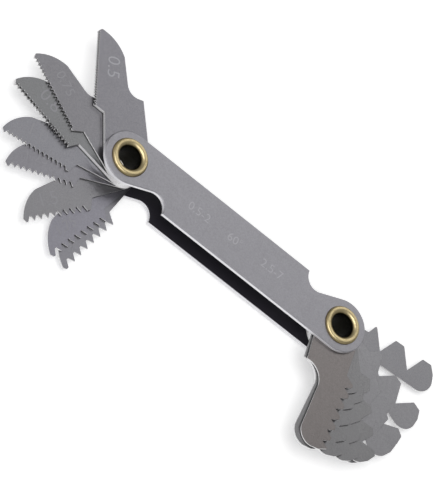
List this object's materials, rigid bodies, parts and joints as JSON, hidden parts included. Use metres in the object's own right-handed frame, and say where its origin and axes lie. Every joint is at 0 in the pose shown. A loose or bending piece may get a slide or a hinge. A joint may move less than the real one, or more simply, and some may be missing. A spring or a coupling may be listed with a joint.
{
  "type": "thread pitch gauge",
  "caption": "Pocket screw pitch gauge: toothed steel leaves that swing out from both ends of two flat covers on hollow brass rivets.",
  "frame": {"origin": "centre of the frame: half-way between the two hollow rivets and half-way between the two covers", "axes": "+X from the left rivet (fine leaves) to the right rivet (coarse leaves), +Z along the rivets towards the front cover, which is up when the gauge lies on its back, +Y across the covers"},
  "size_m": [0.1052, 0.0461, 0.0072],
  "materials": {
    "cover_steel": "satin, fine grained, edges bright from handling",
    "leaf_steel": "satin ground faces with bright punched edges",
    "rivet_brass": "polished, rolled"
  },
  "bodies": {
    "frame": {"front_cover": "cover_steel", "back_cover": "cover_steel", "left_rivet": "rivet_brass", "right_rivet": "rivet_brass"},
    "leaf_0_50_mm": {"leaf_0_50_mm": "leaf_steel"},
    "leaf_0_60_mm": {"leaf_0_60_mm": "leaf_steel"},
    "leaf_0_75_mm": {"leaf_0_75_mm": "leaf_steel"},
    "leaf_0_80_mm": {"leaf_0_80_mm": "leaf_steel"},
    "leaf_0_90_mm": {"leaf_0_90_mm": "leaf_steel"},
    "leaf_1_00_mm": {"leaf_1_00_mm": "leaf_steel"},
    "leaf_1_25_mm": {"leaf_1_25_mm": "leaf_steel"},
    "leaf_1_50_mm": {"leaf_1_50_mm": "leaf_steel"},
    "leaf_1_75_mm": {"leaf_1_75_mm": "leaf_steel"},
    "leaf_2_00_mm": {"leaf_2_00_mm": "leaf_steel"},
    "leaf_2_50_mm": {"leaf_2_50_mm": "leaf_steel"},
    "leaf_3_00_mm": {"leaf_3_00_mm": "leaf_steel"},
    "leaf_3_50_mm": {"leaf_3_50_mm": "leaf_steel"},
    "leaf_4_00_mm": {"leaf_4_00_mm": "leaf_steel"},
    "leaf_4_50_mm": {"leaf_4_50_mm": "leaf_steel"},
    "leaf_5_00_mm": {"leaf_5_00_mm": "leaf_steel"},
    "leaf_5_50_mm": {"leaf_5_50_mm": "leaf_steel"},
    "leaf_6_00_mm": {"leaf_6_00_mm": "leaf_steel"},
    "leaf_6_50_mm": {"leaf_6_50_mm": "leaf_steel"},
    "leaf_7_00_mm": {"leaf_7_00_mm": "leaf_steel"}
  },
  "joints": [
    {"name": "swing_0_50_mm", "type": "hinge", "parent": "frame", "child": "leaf_0_50_mm", "pos_m": [-0.027, 0, 0], "axis": [0, 0, 1], "range_deg": [-130.5, 229.5]},
    {"name": "swing_0_60_mm", "type": "hinge", "parent": "frame", "child": "leaf_0_60_mm", "pos_m": [-0.027, 0, 0], "axis": [0, 0, 1], "range_deg": [-130.5, 229.5]},
    {"name": "swing_0_75_mm", "type": "hinge", "parent": "frame", "child": "leaf_0_75_mm", "pos_m": [-0.027, 0, 0], "axis": [0, 0, 1], "range_deg": [-165.9, 194.1]},
    {"name": "swing_0_80_mm", "type": "hinge", "parent": "frame", "child": "leaf_0_80_mm", "pos_m": [-0.027, 0, 0], "axis": [0, 0, 1], "range_deg": [-181.3, 178.7]},
    {"name": "swing_0_90_mm", "type": "hinge", "parent": "frame", "child": "leaf_0_90_mm", "pos_m": [-0.027, 0, 0], "axis": [0, 0, 1], "range_deg": [-181.3, 178.7]},
    {"name": "swing_1_00_mm", "type": "hinge", "parent": "frame", "child": "leaf_1_00_mm", "pos_m": [-0.027, 0, 0], "axis": [0, 0, 1], "range_deg": [-203.3, 156.7]},
    {"name": "swing_1_25_mm", "type": "hinge", "parent": "frame", "child": "leaf_1_25_mm", "pos_m": [-0.027, 0, 0], "axis": [0, 0, 1], "range_deg": [-217.7, 142.3]},
    {"name": "swing_1_50_mm", "type": "hinge", "parent": "frame", "child": "leaf_1_50_mm", "pos_m": [-0.027, 0, 0], "axis": [0, 0, 1], "range_deg": [-243.7, 116.3]},
    {"name": "swing_1_75_mm", "type": "hinge", "parent": "frame", "child": "leaf_1_75_mm", "pos_m": [-0.027, 0, 0], "axis": [0, 0, 1], "range_deg": [-262.5, 97.5]},
    {"name": "swing_2_00_mm", "type": "hinge", "parent": "frame", "child": "leaf_2_00_mm", "pos_m": [-0.027, 0, 0], "axis": [0, 0, 1], "range_deg": [-270.6, 89.4]},
    {"name": "swing_2_50_mm", "type": "hinge", "parent": "frame", "child": "leaf_2_50_mm", "pos_m": [0.027, 0, 0], "axis": [0, 0, 1], "range_deg": [-108.2, 251.8]},
    {"name": "swing_3_00_mm", "type": "hinge", "parent": "frame", "child": "leaf_3_00_mm", "pos_m": [0.027, 0, 0], "axis": [0, 0, 1], "range_deg": [-105.5, 254.5]},
    {"name": "swing_3_50_mm", "type": "hinge", "parent": "frame", "child": "leaf_3_50_mm", "pos_m": [0.027, 0, 0], "axis": [0, 0, 1], "range_deg": [-117.8, 242.2]},
    {"name": "swing_4_00_mm", "type": "hinge", "parent": "frame", "child": "leaf_4_00_mm", "pos_m": [0.027, 0, 0], "axis": [0, 0, 1], "range_deg": [-127, 233]},
    {"name": "swing_4_50_mm", "type": "hinge", "parent": "frame", "child": "leaf_4_50_mm", "pos_m": [0.027, 0, 0], "axis": [0, 0, 1], "range_deg": [-136.5, 223.5]},
    {"name": "swing_5_00_mm", "type": "hinge", "parent": "frame", "child": "leaf_5_00_mm", "pos_m": [0.027, 0, 0], "axis": [0, 0, 1], "range_deg": [-133, 227]},
    {"name": "swing_5_50_mm", "type": "hinge", "parent": "frame", "child": "leaf_5_50_mm", "pos_m": [0.027, 0, 0], "axis": [0, 0, 1], "range_deg": [-150.8, 209.2]},
    {"name": "swing_6_00_mm", "type": "hinge", "parent": "frame", "child": "leaf_6_00_mm", "pos_m": [0.027, 0, 0], "axis": [0, 0, 1], "range_deg": [-156.5, 203.5]},
    {"name": "swing_6_50_mm", "type": "hinge", "parent": "frame", "child": "leaf_6_50_mm", "pos_m": [0.027, 0, 0], "axis": [0, 0, 1], "range_deg": [-174.5, 185.5]},
    {"name": "swing_7_00_mm", "type": "hinge", "parent": "frame", "child": "leaf_7_00_mm", "pos_m": [0.027, 0, 0], "axis": [0, 0, 1], "range_deg": [-199.4, 160.6]}
  ]
}
